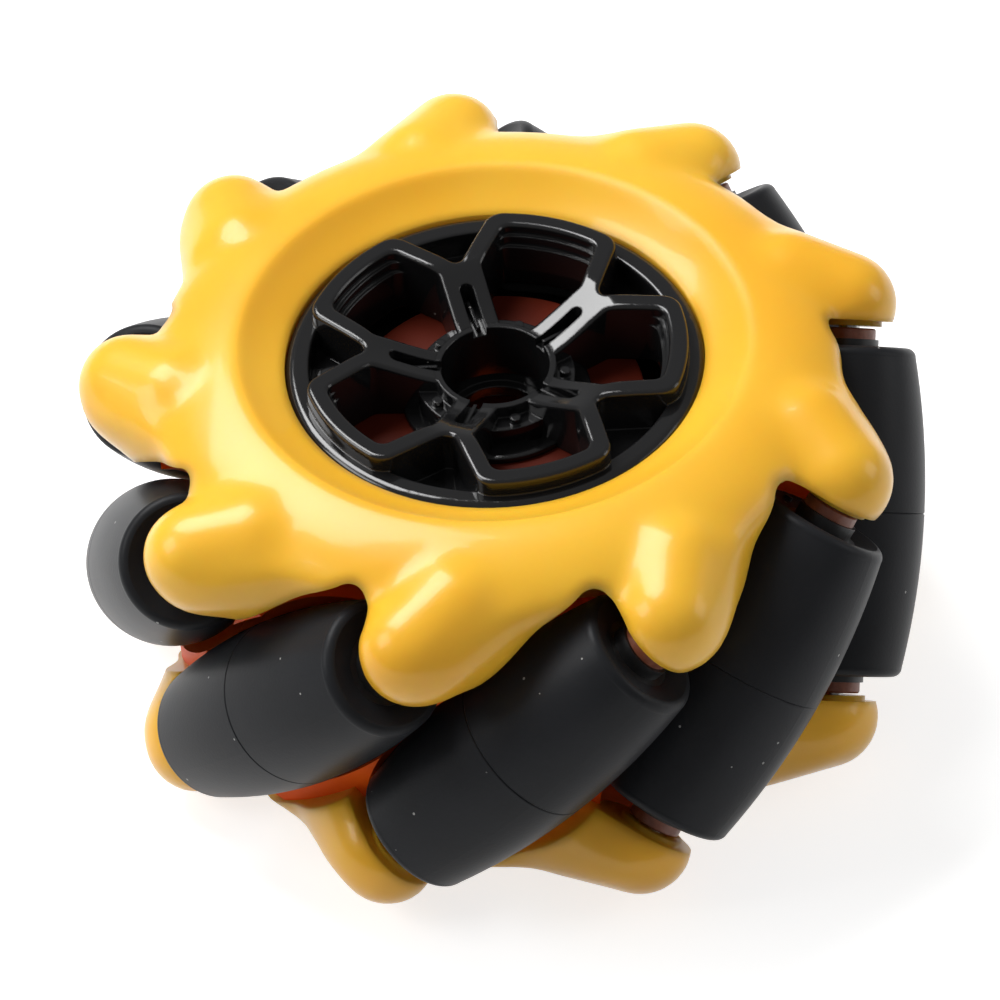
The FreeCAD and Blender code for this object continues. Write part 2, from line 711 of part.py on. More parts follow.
def insert_rim():
    """Turned rim of the insert: a barrel in the hub seat, a rounded shoulder and a lip over the pockets."""
    shoulder, lip = INSERT_SHOULDER, INSERT_LIP
    top = HUB_SEAT_HEIGHT
    bulge = math.sqrt(0.5)
    shoulder_foot = rz(INSERT_RADIUS, top - shoulder)
    shoulder_mid = rz(INSERT_RADIUS - shoulder * (1 - bulge), top - shoulder * (1 - bulge))
    shoulder_top = rz(INSERT_RADIUS - shoulder, top)
    lip_top = rz(INSERT_WALL_RADIUS + lip, top)
    lip_mid = rz(INSERT_WALL_RADIUS + lip * (1 - bulge), top - lip * (1 - bulge))
    lip_foot = rz(INSERT_WALL_RADIUS, top - lip)
    return revolved([
        line(rz(INSERT_BARREL_RADIUS, INSERT_BOTTOM), rz(INSERT_RADIUS, INSERT_BOTTOM)),
        line(rz(INSERT_RADIUS, INSERT_BOTTOM), shoulder_foot),
        arc(shoulder_foot, shoulder_mid, shoulder_top),
        line(shoulder_top, lip_top),
        arc(lip_top, lip_mid, lip_foot),
        line(lip_foot, rz(INSERT_WALL_RADIUS, FORK_FLOOR_HEIGHT)),
        line(rz(INSERT_WALL_RADIUS, FORK_FLOOR_HEIGHT), rz(WINDOW_OUTER_RADIUS, FORK_FLOOR_HEIGHT)),
        line(rz(WINDOW_OUTER_RADIUS, FORK_FLOOR_HEIGHT), rz(INSERT_BARREL_RADIUS, INSERT_BOTTOM)),
    ])


def insert_tube():
    """Turned middle of the insert: a thin tube with a ledge at its foot and a flange for the knobs."""
    flange = WINDOW_INNER_RADIUS + SEAT_CLEARANCE
    flange_bottom = TUBE_FLANGE_HEIGHT - TUBE_FLANGE_THICKNESS
    return turned([
        (TUBE_LEDGE_BORE_RADIUS, TUBE_BOTTOM), (TUBE_RADIUS, TUBE_BOTTOM), (TUBE_RADIUS, flange_bottom),
        (flange, flange_bottom), (flange, TUBE_FLANGE_HEIGHT), (TUBE_RADIUS, TUBE_FLANGE_HEIGHT),
        (TUBE_RADIUS, TUBE_TOP), (TUBE_BORE_RADIUS, TUBE_TOP), (TUBE_BORE_RADIUS, TUBE_LEDGE_TOP),
        (TUBE_LEDGE_BORE_RADIUS, TUBE_LEDGE_TOP),
    ])


def stem_slot():
    """Upright cutter, on +X, for the round-ended slot down the middle of a stem."""
    half = STEM_SLOT_WIDTH / 2
    round_centre = STEM_SLOT_END - half
    top = FRAME_HEIGHT + SAFE
    straight = Part.makeBox(
        round_centre - STEM_SLOT_START, STEM_SLOT_WIDTH, top - STEM_SLOT_FLOOR,
        Vector(STEM_SLOT_START, -half, STEM_SLOT_FLOOR),
    )
    end = Part.makeCylinder(half, top - STEM_SLOT_FLOOR, Vector(round_centre, 0, STEM_SLOT_FLOOR))
    return straight.fuse(end)


def stem_rib():
    """Thin rib that stands in a stem's slot, on +X."""
    start, end, width, top = STEM_RIB
    foot = STEM_SLOT_FLOOR - SAFE / 2
    return Part.makeBox(end - start, width, top - foot, Vector(start, -width / 2, foot))


def hub_insert():
    """Front hub insert: five petals in raised frames, forked stems, closed pockets and a middle tube."""
    floor_bottom = FORK_FLOOR_HEIGHT - FORK_FLOOR_THICKNESS
    floor = ring(WINDOW_INNER_RADIUS, INSERT_WALL_RADIUS + SAFE / 2, floor_bottom, FORK_FLOOR_HEIGHT)
    windows = []
    for cutter in window_cutters():
        windows += fanned(cutter, PETAL_COUNT)
    knob_foot = TUBE_FLANGE_HEIGHT - SAFE / 2
    knob = Part.makeCylinder(KNOB_RADIUS, KNOB_HEIGHT + SAFE / 2, Vector(KNOB_OFFSET, 0, knob_foot))
    body = insert_rim().fuse([floor.cut(windows)] + fanned(petal_frame(), PETAL_COUNT))
    body = body.fuse([insert_tube()] + fanned(knob, PETAL_COUNT))
    body = body.cut(fanned(stem_slot(), PETAL_COUNT, PETAL_HALF_ANGLE))
    body = body.fuse(fanned(stem_rib(), PETAL_COUNT, PETAL_HALF_ANGLE)).removeSplitter()
    return spun(body, PETAL_ANGLE)


def drive_hub():
    """Rear hub: a barrel in the rear plate's seat, a ribbed web and a boss with the drive socket."""
    boss_end, boss_front = DRIVE_BOSS
    web_end, web_front = DRIVE_WEB
    body = turned([
        (AXLE_BORE_RADIUS, boss_end), (DRIVE_BOSS_RADIUS, boss_end), (DRIVE_BOSS_RADIUS, web_end),
        (DRIVE_WALL_RADIUS, web_end), (DRIVE_WALL_RADIUS, -HUB_SEAT_HEIGHT),
        (INSERT_RADIUS, -HUB_SEAT_HEIGHT), (INSERT_RADIUS, -INSERT_BOTTOM),
        (DRIVE_WALL_RADIUS, -INSERT_BOTTOM), (DRIVE_WALL_RADIUS, web_front), (DRIVE_BOSS_RADIUS, web_front),
        (DRIVE_BOSS_RADIUS, boss_front), (AXLE_BORE_RADIUS, boss_front),
    ])
    rib_start = DRIVE_BOSS_RADIUS - SAFE / 2
    rib_length = DRIVE_WALL_RADIUS + SAFE / 2 - rib_start
    rib = Part.makeBox(
        rib_length, DRIVE_RIB_THICKNESS, web_front - DRIVE_RIB_END,
        Vector(rib_start, -DRIVE_RIB_THICKNESS / 2, DRIVE_RIB_END),
    )
    body = body.fuse(fanned(rib, DRIVE_RIB_COUNT, PETAL_ANGLE)).removeSplitter()
    hex_radius = HEX_ACROSS_FLATS / 2 / math.cos(math.radians(30))
    corners = [polar(hex_radius, 60 * i) for i in range(7)]
    socket = Part.Face(Part.makePolygon(corners)).extrude(Vector(0, 0, HEX_DEPTH + SAFE))
    socket.translate(Vector(0, 0, boss_end - SAFE))
    return body.cut(socket)


def write(name, shape):
    """Export one piece under its own name."""
    shape.exportStep(os.path.join("parts", name + ".step"))
    print(name, "valid" if shape.isValid() else "NOT VALID", len(shape.Solids), round(shape.Volume, 1))


def main():
    """Build every piece and write it in place."""
    os.makedirs("parts", exist_ok=True)
    plate = lobed_plate()
    write("front_plate", front_plate(plate))
    write("rear_plate", rear_plate(plate))
    write("core_drum", core_drum())
    write("hub_insert", hub_insert())
    write("drive_hub", drive_hub())
    write("clamp_screws", clamp_screws())
    bush = front_bush()
    roller_pieces = {
        "axle_pin": axle_pin(),
        "roller_tread": roller_tread(),
        "roller_core": roller_core(),
        "front_bush": bush,
        "rear_bush": turned_over(bush),
    }
    for index in range(ROLLER_COUNT):
        for name, shape in roller_pieces.items():
            write(f"{name}_{index + 1}", on_roller(shape, index))


main()
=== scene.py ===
# %% [markdown]
# A mecanum wheel, dressed for its photograph
#
# Two yellow side plates with nine lobes each hold nine rubber rollers at forty-five degrees
# round an orange drum, and a glossy black spoked insert fills the front bowl.
# The shapes were drawn as solids beforehand, so this lesson is about finishes, small trim,
# light and the camera.

# %% Load the solids
import json
import math

import bmesh
import bpy
from mathutils import Matrix, Vector

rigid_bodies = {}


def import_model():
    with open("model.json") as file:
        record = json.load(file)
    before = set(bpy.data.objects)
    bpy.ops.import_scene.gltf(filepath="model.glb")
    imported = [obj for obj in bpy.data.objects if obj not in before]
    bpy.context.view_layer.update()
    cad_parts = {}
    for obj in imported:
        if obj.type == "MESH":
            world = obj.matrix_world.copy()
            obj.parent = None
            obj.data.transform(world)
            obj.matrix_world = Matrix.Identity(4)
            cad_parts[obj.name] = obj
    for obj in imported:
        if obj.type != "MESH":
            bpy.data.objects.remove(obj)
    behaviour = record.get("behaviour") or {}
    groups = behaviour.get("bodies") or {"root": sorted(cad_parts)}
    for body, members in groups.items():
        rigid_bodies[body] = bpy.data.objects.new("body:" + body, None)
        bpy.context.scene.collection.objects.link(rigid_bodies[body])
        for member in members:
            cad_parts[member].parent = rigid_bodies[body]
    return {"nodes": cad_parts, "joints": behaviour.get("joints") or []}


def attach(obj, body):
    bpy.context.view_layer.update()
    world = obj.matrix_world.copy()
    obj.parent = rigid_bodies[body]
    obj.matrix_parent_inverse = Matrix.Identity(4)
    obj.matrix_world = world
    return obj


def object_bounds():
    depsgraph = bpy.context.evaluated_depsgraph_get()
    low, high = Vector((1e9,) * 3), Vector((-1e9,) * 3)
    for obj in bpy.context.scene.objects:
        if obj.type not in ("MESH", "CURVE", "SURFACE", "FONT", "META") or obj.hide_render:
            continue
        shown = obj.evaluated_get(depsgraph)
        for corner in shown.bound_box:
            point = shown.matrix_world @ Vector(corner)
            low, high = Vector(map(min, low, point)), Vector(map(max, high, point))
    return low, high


for left_over in list(bpy.data.objects):
    bpy.data.objects.remove(left_over)
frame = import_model()
bpy.ops.object.select_all(action="DESELECT")
bpy.context.view_layer.update()
solid_low, solid_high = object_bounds()
nodes = frame["nodes"]
MILLIMETRE = 0.001
print("solids:", len(nodes), "size in mm:", [round(side / MILLIMETRE, 1) for side in solid_high - solid_low])

# %% [markdown]
# Colours are picked as the eye sees them on a screen, as sRGB hex values.
# Shaders work with linear light, so one function does the change for every colour in this file.
# A second function adds a shader node, because every finish below is a small chain of nodes:
# give it the kind, the settings and the links, and it returns the new node.

# %% Colours and nodes
def colour(hex_value):
    """The linear colour, with full opacity, of an sRGB hex value such as F4B42C."""
    channels = []
    for start in (0, 2, 4):
        share = int(hex_value[start:start + 2], 16) / 255
        channels.append(share / 12.92 if share <= 0.04045 else ((share + 0.055) / 1.055) ** 2.4)
    return (*channels, 1.0)


def add_node(tree, kind, settings, links):
    """Adds one node: settings are properties or input values by name, links are outputs by input."""
    node = tree.nodes.new(kind)
    for name, value in settings.items():
        if isinstance(name, str) and hasattr(node, name):
            setattr(node, name, value)
        else:
            node.inputs[name].default_value = value
    for name, output in links.items():
        tree.links.new(output, node.inputs[name])
    return node


print("yellow as linear light:", [round(part, 3) for part in colour("F4B42C")[:3]])

# %% [markdown]
# Every finish starts as an empty material whose patterns read the piece's own coordinates, and
# ends with a link to the material's output. Pattern sizes are written in millimetres, as they
# would be measured on the wheel, and one function turns them into texture scales.

# %% Start and end of a finish
def start_finish(name):
    """A new material with an empty tree: returns the material, its tree and its coordinates."""
    finish = bpy.data.materials.new(name)
    finish.use_nodes = True
    tree = finish.node_tree
    tree.nodes.clear()
    place = add_node(tree, "ShaderNodeTexCoord", {}, {}).outputs["Object"]
    return finish, tree, place


def end_finish(tree, shader):
    """Links the shader to the tree's output."""
    add_node(tree, "ShaderNodeOutputMaterial", {}, {"Surface": shader.outputs[0]})


def per_size(millimetres):
    """The texture scale whose features are about that many millimetres wide."""
    return 1 / (millimetres * MILLIMETRE)


print("texture scale for features a millimetre wide:", round(per_size(1)))

# %% [markdown]
# Two patterns come back in several finishes. One is a slow drift between two tones, as pigment
# flows unevenly: clouds of noise, read through a colour ramp. The other is dust, which a studio
# lamp shows as pale points: the hearts of wide Voronoi cells, kept only where a patchy noise
# allows one, so that they don't lie in rows.

# %% Drifting tones and dust
def two_tones(tree, place, width, detail, dark, pale):
    """Clouds so many mm wide that drift between two tones, each given as ramp position and hex."""
    clouds = add_node(tree, "ShaderNodeTexNoise", {"Scale": per_size(width), "Detail": detail},
                      {"Vector": place})
    ramp = add_node(tree, "ShaderNodeValToRGB", {}, {"Fac": clouds.outputs["Fac"]})
    for index, (position, tone) in enumerate((dark, pale)):
        stop = ramp.color_ramp.elements[index]
        stop.position = position
        stop.color = colour(tone)
    return clouds.outputs["Fac"], ramp.outputs["Color"]


def dust(tree, place, spacing, radius, patch_width, rarity):
    """A mask of dust specks: sizes in mm, and fewer specks as the rarity goes from 0 to 1."""
    cells = add_node(tree, "ShaderNodeTexVoronoi", {"Scale": per_size(spacing)}, {"Vector": place})
    hearts = add_node(tree, "ShaderNodeMath", {"operation": "LESS_THAN", 1: radius / spacing},
                      {0: cells.outputs["Distance"]})
    patches = add_node(tree, "ShaderNodeTexNoise", {"Scale": per_size(patch_width), "Detail": 0.0},
                       {"Vector": place})
    dusty = add_node(tree, "ShaderNodeMath", {"operation": "GREATER_THAN", 1: rarity},
                     {0: patches.outputs["Fac"]})
    specks = add_node(tree, "ShaderNodeMath", {"operation": "MULTIPLY"},
                      {0: hearts.outputs[0], 1: dusty.outputs[0]})
    return specks.outputs[0]


print("patterns ready: drifting tones and dust")

# %% [markdown]
# The side plates are injection-moulded ABS, a tough plastic with a bright gloss.
# Moulded gloss is never a perfect mirror: the melt shrinks as it cools, which leaves a faint
# orange-peel waviness about a millimetre and a half across, and the yellow drifts slightly over
# a couple of centimetres. Both come from noise, one driving the bump and one the colour.
# The plastic lets a little light in, which warms its shade, so a quarter of it scatters under
# the surface. The highlight is a small crisp one inside a wide soft one: the shader's thin coat
# gives the first and its own roughness the second.
# A Bevel node bends the light round the moulded edges, which are too soft for a plain corner.

# %% Yellow moulded ABS
YELLOW_EDGE = 1.6 * MILLIMETRE
LIGHT_REACH = 2 * MILLIMETRE
yellow_abs, tree, place = start_finish("yellow_abs_gloss_moulded")
_, yellows = two_tones(tree, place, width=22, detail=2.0,
                       dark=(0.35, "F4B42C"), pale=(0.65, "F8C038"))
peel = add_node(tree, "ShaderNodeTexNoise", {"Scale": per_size(1.5), "Detail": 1.0}, {"Vector": place})
soft_edge = add_node(tree, "ShaderNodeBevel", {"samples": 6, "Radius": YELLOW_EDGE}, {})
peel_bump = add_node(tree, "ShaderNodeBump", {"Strength": 0.5, "Distance": 0.02 * MILLIMETRE},
                     {"Height": peel.outputs["Fac"], "Normal": soft_edge.outputs["Normal"]})
wear = add_node(tree, "ShaderNodeTexNoise", {"Scale": per_size(7), "Detail": 3.0}, {"Vector": place})
gloss = add_node(tree, "ShaderNodeMapRange", {"To Min": 0.26, "To Max": 0.36}, {"Value": wear.outputs["Fac"]})
shader = add_node(tree, "ShaderNodeBsdfPrincipled",
                  {"IOR": 1.5, "Specular IOR Level": 0.3, "Coat Weight": 0.22, "Coat Roughness": 0.09,
                   "Subsurface Weight": 0.25, "Subsurface Scale": LIGHT_REACH,
                   "Subsurface Radius": (1.0, 0.45, 0.08)},
                  {"Base Color": yellows, "Roughness": gloss.outputs["Result"],
                   "Normal": peel_bump.outputs["Normal"]})
end_finish(tree, shader)
print("made", yellow_abs.name)

# %% [markdown]
# The core between the plates is the same plastic in orange, from a plainer mould, so it is less
# glossy and its colour stays even to the eye. It shows between the rollers. Its boss behind the
# insert's windows gets the same finish darkened to a dark rust red, which is painted shade for the
# deep windows.
# One function makes both finishes from their two tones.

# %% Satin moulded ABS in two colours
def satin_abs(name, dark, pale):
    """Moulded ABS with a satin skin and a fine orange peel that drifts between two tones."""
    finish, tree, place = start_finish(name)
    _, tones = two_tones(tree, place, width=9, detail=2.0, dark=(0.3, dark), pale=(0.7, pale))
    peel = add_node(tree, "ShaderNodeTexNoise", {"Scale": per_size(0.8), "Detail": 2.0}, {"Vector": place})
    peel_bump = add_node(tree, "ShaderNodeBump", {"Strength": 0.6, "Distance": 0.02 * MILLIMETRE},
                         {"Height": peel.outputs["Fac"]})
    shader = add_node(tree, "ShaderNodeBsdfPrincipled",
                      {"IOR": 1.54, "Roughness": 0.48, "Specular IOR Level": 0.1},
                      {"Base Color": tones, "Normal": peel_bump.outputs["Normal"]})
    end_finish(tree, shader)
    return finish


orange_abs = satin_abs("orange_abs_satin_moulded", "F2520A", "FF640E")
# The boss's dark rust red is painted shade, darker than the orange that it stands for.
orange_abs_painted_shade = satin_abs("orange_abs_painted_shade_satin_moulded", "521A0E", "642212")
print("made", orange_abs.name, "and", orange_abs_painted_shade.name)

# %% [markdown]
# The spoked insert and the drive hub behind it are black ABS from a polished mould.
# The eye sees almost no colour, only reflections, so what matters is the roughness: low, with
# soft smudges where it was handled, and a few pale dust specks over a quarter millimetre wide.
# A narrow Bevel node gives every spoke the bright thin line along its edge.

# %% Black polished ABS
BLACK_EDGE = 0.25 * MILLIMETRE
black_gloss, tree, place = start_finish("black_abs_polished_moulded")
specks = dust(tree, place, spacing=2.6, radius=0.143, patch_width=8, rarity=0.58)
dusted = add_node(tree, "ShaderNodeMix", {"data_type": "RGBA", 6: colour("161617"), 7: colour("8A8884")},
                  {0: specks})
smudge = add_node(tree, "ShaderNodeTexNoise", {"Scale": per_size(5), "Detail": 4.0}, {"Vector": place})
gloss = add_node(tree, "ShaderNodeMapRange", {"To Min": 0.05, "To Max": 0.14},
                 {"Value": smudge.outputs["Fac"]})
peel = add_node(tree, "ShaderNodeTexNoise", {"Scale": per_size(1.1), "Detail": 1.0}, {"Vector": place})
soft_edge = add_node(tree, "ShaderNodeBevel", {"samples": 4, "Radius": BLACK_EDGE}, {})
peel_bump = add_node(tree, "ShaderNodeBump", {"Strength": 0.4, "Distance": 0.015 * MILLIMETRE},
                     {"Height": peel.outputs["Fac"], "Normal": soft_edge.outputs["Normal"]})
shader = add_node(tree, "ShaderNodeBsdfPrincipled", {"IOR": 1.54},
                  {"Base Color": dusted.outputs[2], "Roughness": gloss.outputs["Result"],
                   "Normal": peel_bump.outputs["Normal"]})
end_finish(tree, shader)
print("made", black_gloss.name)

# %% [markdown]
# The roller treads are moulded rubber. Rubber scatters most of its reflection, so it looks deep
# grey where light grazes it and black elsewhere, with a fine matt grain from the mould's
# blasted surface, drawn three tenths of a millimetre wide, coarser than the real one, so that it
# shows. Rubber also holds dust, which shows as tiny pale points.

# %% Moulded rubber
rubber, tree, place = start_finish("rubber_satin_moulded")
specks = dust(tree, place, spacing=2.2, radius=0.132, patch_width=6, rarity=0.55)
clouds, greys = two_tones(tree, place, width=12, detail=4.0,
                          dark=(0.3, "1E1F21"), pale=(0.7, "252629"))
dusted = add_node(tree, "ShaderNodeMix", {"data_type": "RGBA", 7: colour("9A9A98")}, {0: specks, 6: greys})
worn = add_node(tree, "ShaderNodeMapRange", {"To Min": 0.34, "To Max": 0.46}, {"Value": clouds})
grain = add_node(tree, "ShaderNodeTexNoise", {"Scale": per_size(0.3), "Detail": 2.0}, {"Vector": place})
grain_bump = add_node(tree, "ShaderNodeBump", {"Strength": 0.5, "Distance": 0.02 * MILLIMETRE},
                      {"Height": grain.outputs["Fac"]})
shader = add_node(tree, "ShaderNodeBsdfPrincipled", {"IOR": 1.45, "Specular IOR Level": 0.13},
                  {"Base Color": dusted.outputs[2], "Roughness": worn.outputs["Result"],
                   "Normal": grain_bump.outputs["Normal"]})
end_finish(tree, shader)
print("made", rubber.name)

# %% [markdown]
# Inside each tread sits a black nylon core, and brown nylon bushes space it from the plates.
# Nylon is moulded slightly rough, with short pale glass fibres just under the skin. The eye sees
# them as a faint fleck, drawn half a millimetre wide, coarser than the fibres, so that it shows.

# %% Nylon in two colours
def nylon(name, dark, pale):
    """Glass-filled moulded nylon that drifts between two tones."""
    finish, tree, place = start_finish(name)
    fibres, tones = two_tones(tree, place, width=0.5, detail=3.0, dark=(0.35, dark), pale=(0.7, pale))
    bump = add_node(tree, "ShaderNodeBump", {"Strength": 0.5, "Distance": 0.02 * MILLIMETRE},
                    {"Height": fibres})
    shader = add_node(tree, "ShaderNodeBsdfPrincipled", {"IOR": 1.53, "Roughness": 0.4},
                      {"Base Color": tones, "Normal": bump.outputs["Normal"]})
    end_finish(tree, shader)
    return finish


black_nylon = nylon("black_nylon_moulded", "111112", "1C1C1D")
brown_nylon = nylon("brown_nylon_moulded", "7A4028", "8E5138")
print("made", black_nylon.name, "and", brown_nylon.name)

# %% [markdown]
# The axle pins and clamp screws are ground steel. A ground surface is covered with fine
# parallel scratches, so its reflections are drawn out. Noise stretched along one direction draws
# them, a tenth of a millimetre wide, coarser than real ones, so that they show.

# %% Ground steel
SCRATCH_STRETCH = (1.0, 1.0, 0.08)
steel, tree, place = start_finish("steel_ground")
stretched = add_node(tree, "ShaderNodeMapping", {"Scale": SCRATCH_STRETCH}, {"Vector": place})
scratch = add_node(tree, "ShaderNodeTexNoise", {"Scale": per_size(0.1), "Detail": 2.0},
                   {"Vector": stretched.outputs["Vector"]})
brushed = add_node(tree, "ShaderNodeMapRange", {"To Min": 0.2, "To Max": 0.38},
                   {"Value": scratch.outputs["Fac"]})
bump = add_node(tree, "ShaderNodeBump", {"Strength": 0.3, "Distance": 0.01 * MILLIMETRE},
                {"Height": scratch.outputs["Fac"]})
shader = add_node(tree, "ShaderNodeBsdfPrincipled", {"Base Color": colour("C6C6C3"), "Metallic": 1.0},
                  {"Roughness": brushed.outputs["Result"], "Normal": bump.outputs["Normal"]})
end_finish(tree, shader)
print("made", steel.name)

# %% [markdown]
# Each solid gets its finish by name. The solids keep their meshes and places, only the
# material in their slot changes.

# %% Put the finishes on the solids
FINISH_OF = {
    "front_plate": yellow_abs,
    "rear_plate": yellow_abs,
    "core_drum": orange_abs,
    "hub_insert": black_gloss,
    "drive_hub": black_gloss,
    "clamp_screws": steel,
    "axle_pin": steel,
    "roller_tread": rubber,
    "roller_core": black_nylon,
    "front_bush": brown_nylon,
    "rear_bush": brown_nylon,
}
for name, node in nodes.items():
    kind = name.rstrip("0123456789").rstrip("_")
    node.data.materials.clear()
    node.data.materials.append(FINISH_OF[kind])
print("finished solids:", len(nodes))

# %% [markdown]
# All trim inside the wheel is round, so every piece starts as a ring about the axle. It could be
# a profile that is spun round, but a ring is quicker by hand from a cylinder, whose caps are
# inset to the inner radius and bridged to make the hole. Faces and edges are selected in code,
# by the way they point and the corners they make.

# %% Model a ring
RING_SIDES = 120
LEVEL_FACE = 0.99
SHARP_TURN = math.radians(60)


def pick_caps(mesh):
    """Selects only the level faces of the mesh in edit mode."""
    shape = bmesh.from_edit_mesh(mesh)
    for face in shape.faces:
        face.select_set(abs(face.normal.z) > LEVEL_FACE)
    bmesh.update_edit_mesh(mesh)


def pick_sharp_edges(mesh):
    """Selects only the edges in edit mode whose faces meet at a clear corner."""
    shape = bmesh.from_edit_mesh(mesh)
    for face in shape.faces:
        face.select_set(False)
    for edge in shape.edges:
        edge.select_set(edge.calc_face_angle() > SHARP_TURN)
    bmesh.update_edit_mesh(mesh)


def ring(name, radii, heights):
    """A ring about the axle, left in edit mode: outer and inner radius, low and high end, in mm."""
    outer, inner = radii
    low, high = heights
    bpy.ops.object.select_all(action="DESELECT")
    bpy.ops.mesh.primitive_cylinder_add(vertices=RING_SIDES, radius=outer * MILLIMETRE,
                                        depth=(high - low) * MILLIMETRE,
                                        location=(0, 0, (low + high) / 2 * MILLIMETRE))
    piece = bpy.context.object
    piece.name = name
    bpy.ops.object.transform_apply(location=True)
    bpy.ops.object.mode_set(mode="EDIT")
    bpy.ops.mesh.select_mode(type="FACE")
    pick_caps(piece.data)
    bpy.ops.mesh.inset(thickness=(outer - inner) * MILLIMETRE)
    bpy.ops.mesh.bridge_edge_loops()
    return piece


print("sides of a ring:", RING_SIDES)

# %% [markdown]
# A moulding has no knife edges, so a ring's corners are bevelled before it leaves edit mode.
# Then it is shaded smooth, except at its corners, gets its finish, and is told to turn with the
# wheel, as all trim does that isn't part of a roller.

# %% Soften and dress a ring
BEVEL_STEPS = 2
SMOOTH_TURN = math.radians(35)


def soften(piece, width):
    """Bevels the clear corners of the piece in edit mode by so many mm, and leaves edit mode."""
    bpy.ops.mesh.select_mode(type="EDGE")
    pick_sharp_edges(piece.data)
    bpy.ops.mesh.bevel(offset=width * MILLIMETRE, segments=BEVEL_STEPS)
    bpy.ops.object.mode_set(mode="OBJECT")


def dress(piece, finish):
    """Smooths a new piece, gives it its finish, and lets it turn with the wheel."""
    bpy.ops.object.select_all(action="DESELECT")
    piece.select_set(True)
    bpy.context.view_layer.objects.active = piece
    bpy.ops.object.shade_smooth_by_angle(angle=SMOOTH_TURN)
    piece.data.materials.append(finish)
    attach(piece, "wheel")
    print("made", piece.name, "with", len(piece.data.polygons), "faces")


print("bevel steps at a corner:", BEVEL_STEPS)

# %% [markdown]
# Behind the insert's windows the drum has more to show than its wall: a thick boss stands on its
# web, and its top shows low in each window in a dark red, which is painted shade. It is framed by
# a black collar round the tube and by a black sleeve that carries the insert's barrel down.

# %% Rings behind the windows
BOSS_EDGE = 0.3
TRIM_EDGE = 0.2
boss = ring("core_boss", radii=(13.9, 5.8), heights=(1.2, 12.9))
soften(boss, BOSS_EDGE)
# The boss wears the darkened orange, painted shade for the deep windows.
dress(boss, orange_abs_painted_shade)
collar = ring("insert_collar", radii=(8.9, 5.75), heights=(12.85, 13.6))
soften(collar, TRIM_EDGE)
dress(collar, black_gloss)
sleeve = ring("insert_sleeve", radii=(18.35, 15.75), heights=(1.3, 10.05))
soften(sleeve, TRIM_EDGE)
dress(sleeve, black_gloss)

# %% [markdown]
# Between the rollers the core is thick: orange ridges stand between them and reach into the
# plates' hollows, and they are the bright colour seen low between two rollers.
# A wide ring is the start. The rollers need room to turn, so nine stretched spheres, larger than
# the rollers and laid along their axles, are cut out of it with Boolean modifiers, which leaves
# only the ridges.

# %% Orange ridges between the rollers
ROLLER_ROOM = (8.9, 8.9, 22.3)
ROOM_SEGMENTS = 72
ROOM_RINGS = 36


def cut_room(piece, joint):
    """Cuts room for the roller that turns on this joint out of the piece."""
    bpy.ops.object.select_all(action="DESELECT")
    bpy.ops.mesh.primitive_uv_sphere_add(segments=ROOM_SEGMENTS, ring_count=ROOM_RINGS, radius=MILLIMETRE)
    room = bpy.context.object
    turn = Vector(joint["axis"]).to_track_quat("Z", "Y").to_matrix().to_4x4()
    room.matrix_world = Matrix.Translation(joint["pos_m"]) @ turn @ Matrix.Diagonal((*ROLLER_ROOM, 1))
    bpy.context.view_layer.objects.active = piece
    cut = piece.modifiers.new("room", "BOOLEAN")
    cut.operation = "DIFFERENCE"
    cut.object = room
    bpy.ops.object.modifier_apply(modifier=cut.name)
    bpy.data.objects.remove(room)


ridges = ring("core_ridges", radii=(31.9, 19.7), heights=(-16.0, 8.5))
bpy.ops.object.mode_set(mode="OBJECT")
for joint in frame["joints"]:
    cut_room(ridges, joint)
dress(ridges, orange_abs)

# %% [markdown]
# The wheel lies on a white sweep. The floor is a large disc of matt paper whose own colour is a
# pale grey, and it glows for the camera and for mirror-like rays only, so that the open floor
# reads as white while the shadow under the wheel still shows.

# %% White floor
FLOOR_RADIUS = 2.5
FLOOR_SIDES = 96
FLOOR_GLOW = 0.74
bpy.ops.mesh.primitive_circle_add(vertices=FLOOR_SIDES, radius=FLOOR_RADIUS, fill_type="NGON",
                                  location=(0, 0, solid_low.z))
floor = bpy.context.object
floor.name = "floor"
paper, tree, place = start_finish("paper_sweep")
rays = add_node(tree, "ShaderNodeLightPath", {}, {})
seen = add_node(tree, "ShaderNodeMath", {"operation": "MAXIMUM"},
                {0: rays.outputs["Is Camera Ray"], 1: rays.outputs["Is Glossy Ray"]})
seen = add_node(tree, "ShaderNodeMath", {"operation": "MAXIMUM"},
                {0: seen.outputs[0], 1: rays.outputs["Is Transmission Ray"]})
matt = add_node(tree, "ShaderNodeBsdfDiffuse", {"Color": colour("D0D0D0")}, {})
glow_share = add_node(tree, "ShaderNodeMath", {"operation": "MULTIPLY", 1: FLOOR_GLOW}, {0: seen.outputs[0]})
glow = add_node(tree, "ShaderNodeEmission", {}, {"Strength": glow_share.outputs[0]})
both = add_node(tree, "ShaderNodeAddShader", {}, {0: matt.outputs[0], 1: glow.outputs[0]})
end_finish(tree, both)
floor.data.materials.append(paper)
print("floor at height in mm:", round(solid_low.z / MILLIMETRE, 2))

# %% [markdown]
# Product photographs of glossy plastic use large soft lamps, because the lamp's own shape is
# what shows as the highlight. The main lamp hangs high on the left and a little behind the wheel,
# so its reflection lies on the left of every lobe and the sides towards the camera fall into
# soft shade. A second, lower lamp further round on the left opens that shade, a weak one low on
# the right draws the lobes' right edges, and an even, dim room light comes from everywhere.

# %% Lamps and room light
ROOM_LIGHT = 0.26


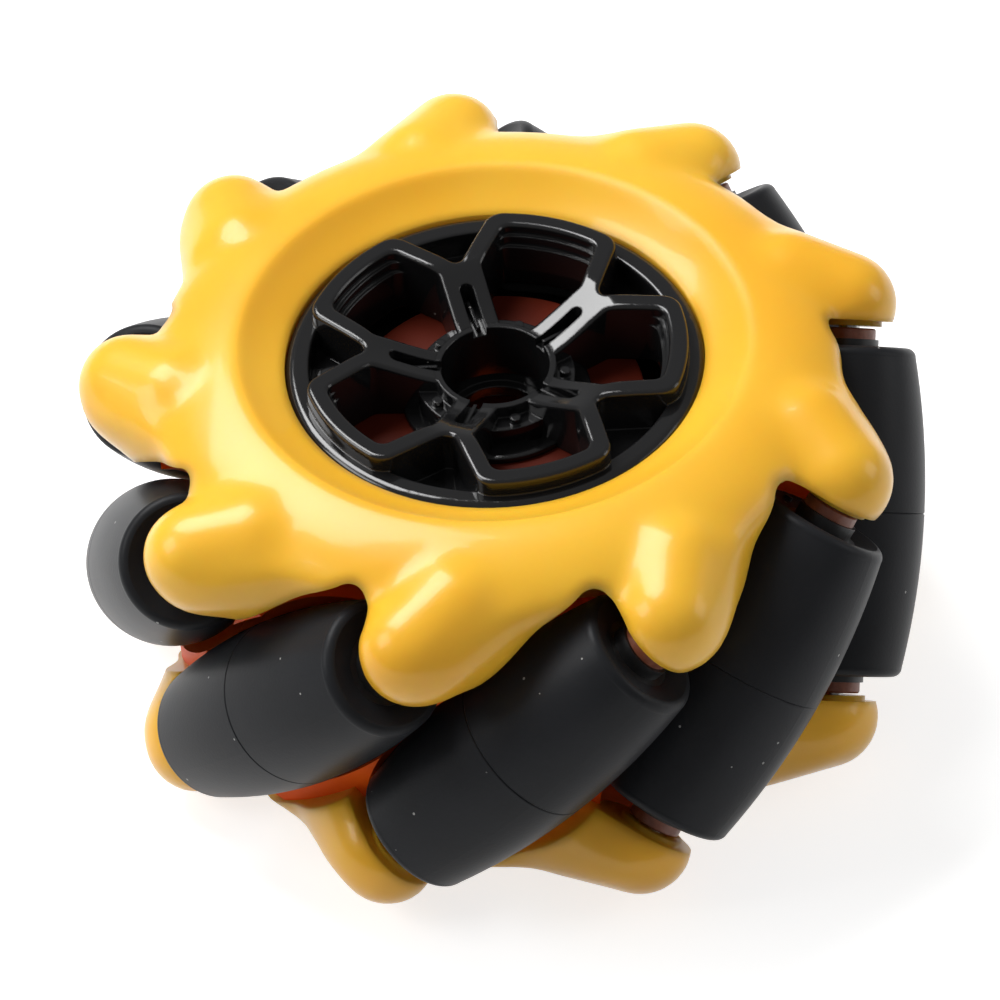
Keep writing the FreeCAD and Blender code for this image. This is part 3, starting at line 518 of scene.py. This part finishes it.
def soft_lamp(name, turn, rise, distance, size, power):
    """A square lamp that faces the wheel: turn and rise in degrees, lengths in m, power in W."""
    along = math.cos(math.radians(rise))
    place = Vector((along * math.cos(math.radians(turn)), along * math.sin(math.radians(turn)),
                    math.sin(math.radians(rise)))) * distance
    bpy.ops.object.light_add(type="AREA", location=place)
    lamp = bpy.context.object
    lamp.name = name
    lamp.data.shape = "SQUARE"
    lamp.data.size = size
    lamp.data.energy = power
    lamp.rotation_euler = (-place).to_track_quat("-Z", "Y").to_euler()


soft_lamp("lamp_main", turn=139, rise=57, distance=0.85, size=0.45, power=7.0)
soft_lamp("lamp_right", turn=8, rise=22, distance=0.9, size=0.4, power=1.2)
soft_lamp("lamp_left", turn=192, rise=36, distance=0.9, size=0.4, power=2.6)
world = bpy.data.worlds.new("room")
bpy.context.scene.world = world
world.use_nodes = True
tree = world.node_tree
tree.nodes.clear()
even_light = add_node(tree, "ShaderNodeBackground", {"Color": colour("FFFFFF"), "Strength": ROOM_LIGHT}, {})
add_node(tree, "ShaderNodeOutputWorld", {}, {"Surface": even_light.outputs[0]})

# %% [markdown]
# The camera stands well back with a long lens, looking down on the wheel at forty-five degrees,
# and is tilted a few degrees about its own axis. The wheel's centre falls a little right of and
# above the middle of the picture, which a small step of the camera gives.
# Lens and sensor are in millimetres, the distance is in metres.

# %% Camera
LENS = 256.1
SENSOR = 36.0
DISTANCE = 0.6746
ELEVATION = math.radians(45.2)
TILT = math.radians(3.48)
AZIMUTH = math.radians(8.6)
CENTRE_IN_PICTURE = (0.00282, -0.00565)
forward = Vector((0, math.cos(ELEVATION), -math.sin(ELEVATION)))
level = Vector((1, 0, 0))
below = forward.cross(level)
right = level * math.cos(TILT) + below * math.sin(TILT)
down = below * math.cos(TILT) - level * math.sin(TILT)
picture_width = DISTANCE * SENSOR / LENS
stand = -(right * CENTRE_IN_PICTURE[0] * picture_width + down * CENTRE_IN_PICTURE[1] * picture_width
          + forward * DISTANCE)
aim = Matrix((right, -down, -forward)).transposed().to_4x4()
bpy.ops.object.camera_add()
camera = bpy.context.object
camera.matrix_world = Matrix.Rotation(AZIMUTH, 4, "Z") @ Matrix.Translation(stand) @ aim
camera.data.sensor_width = SENSOR
camera.data.lens = LENS
bpy.context.scene.camera = camera
bpy.context.scene.view_settings.view_transform = "Standard"
print("camera at, in mm:", [round(part / MILLIMETRE) for part in camera.matrix_world.translation])

# %% [markdown]
# Last, the scene is brought up to date.

# %% Finish
bpy.context.view_layer.update()
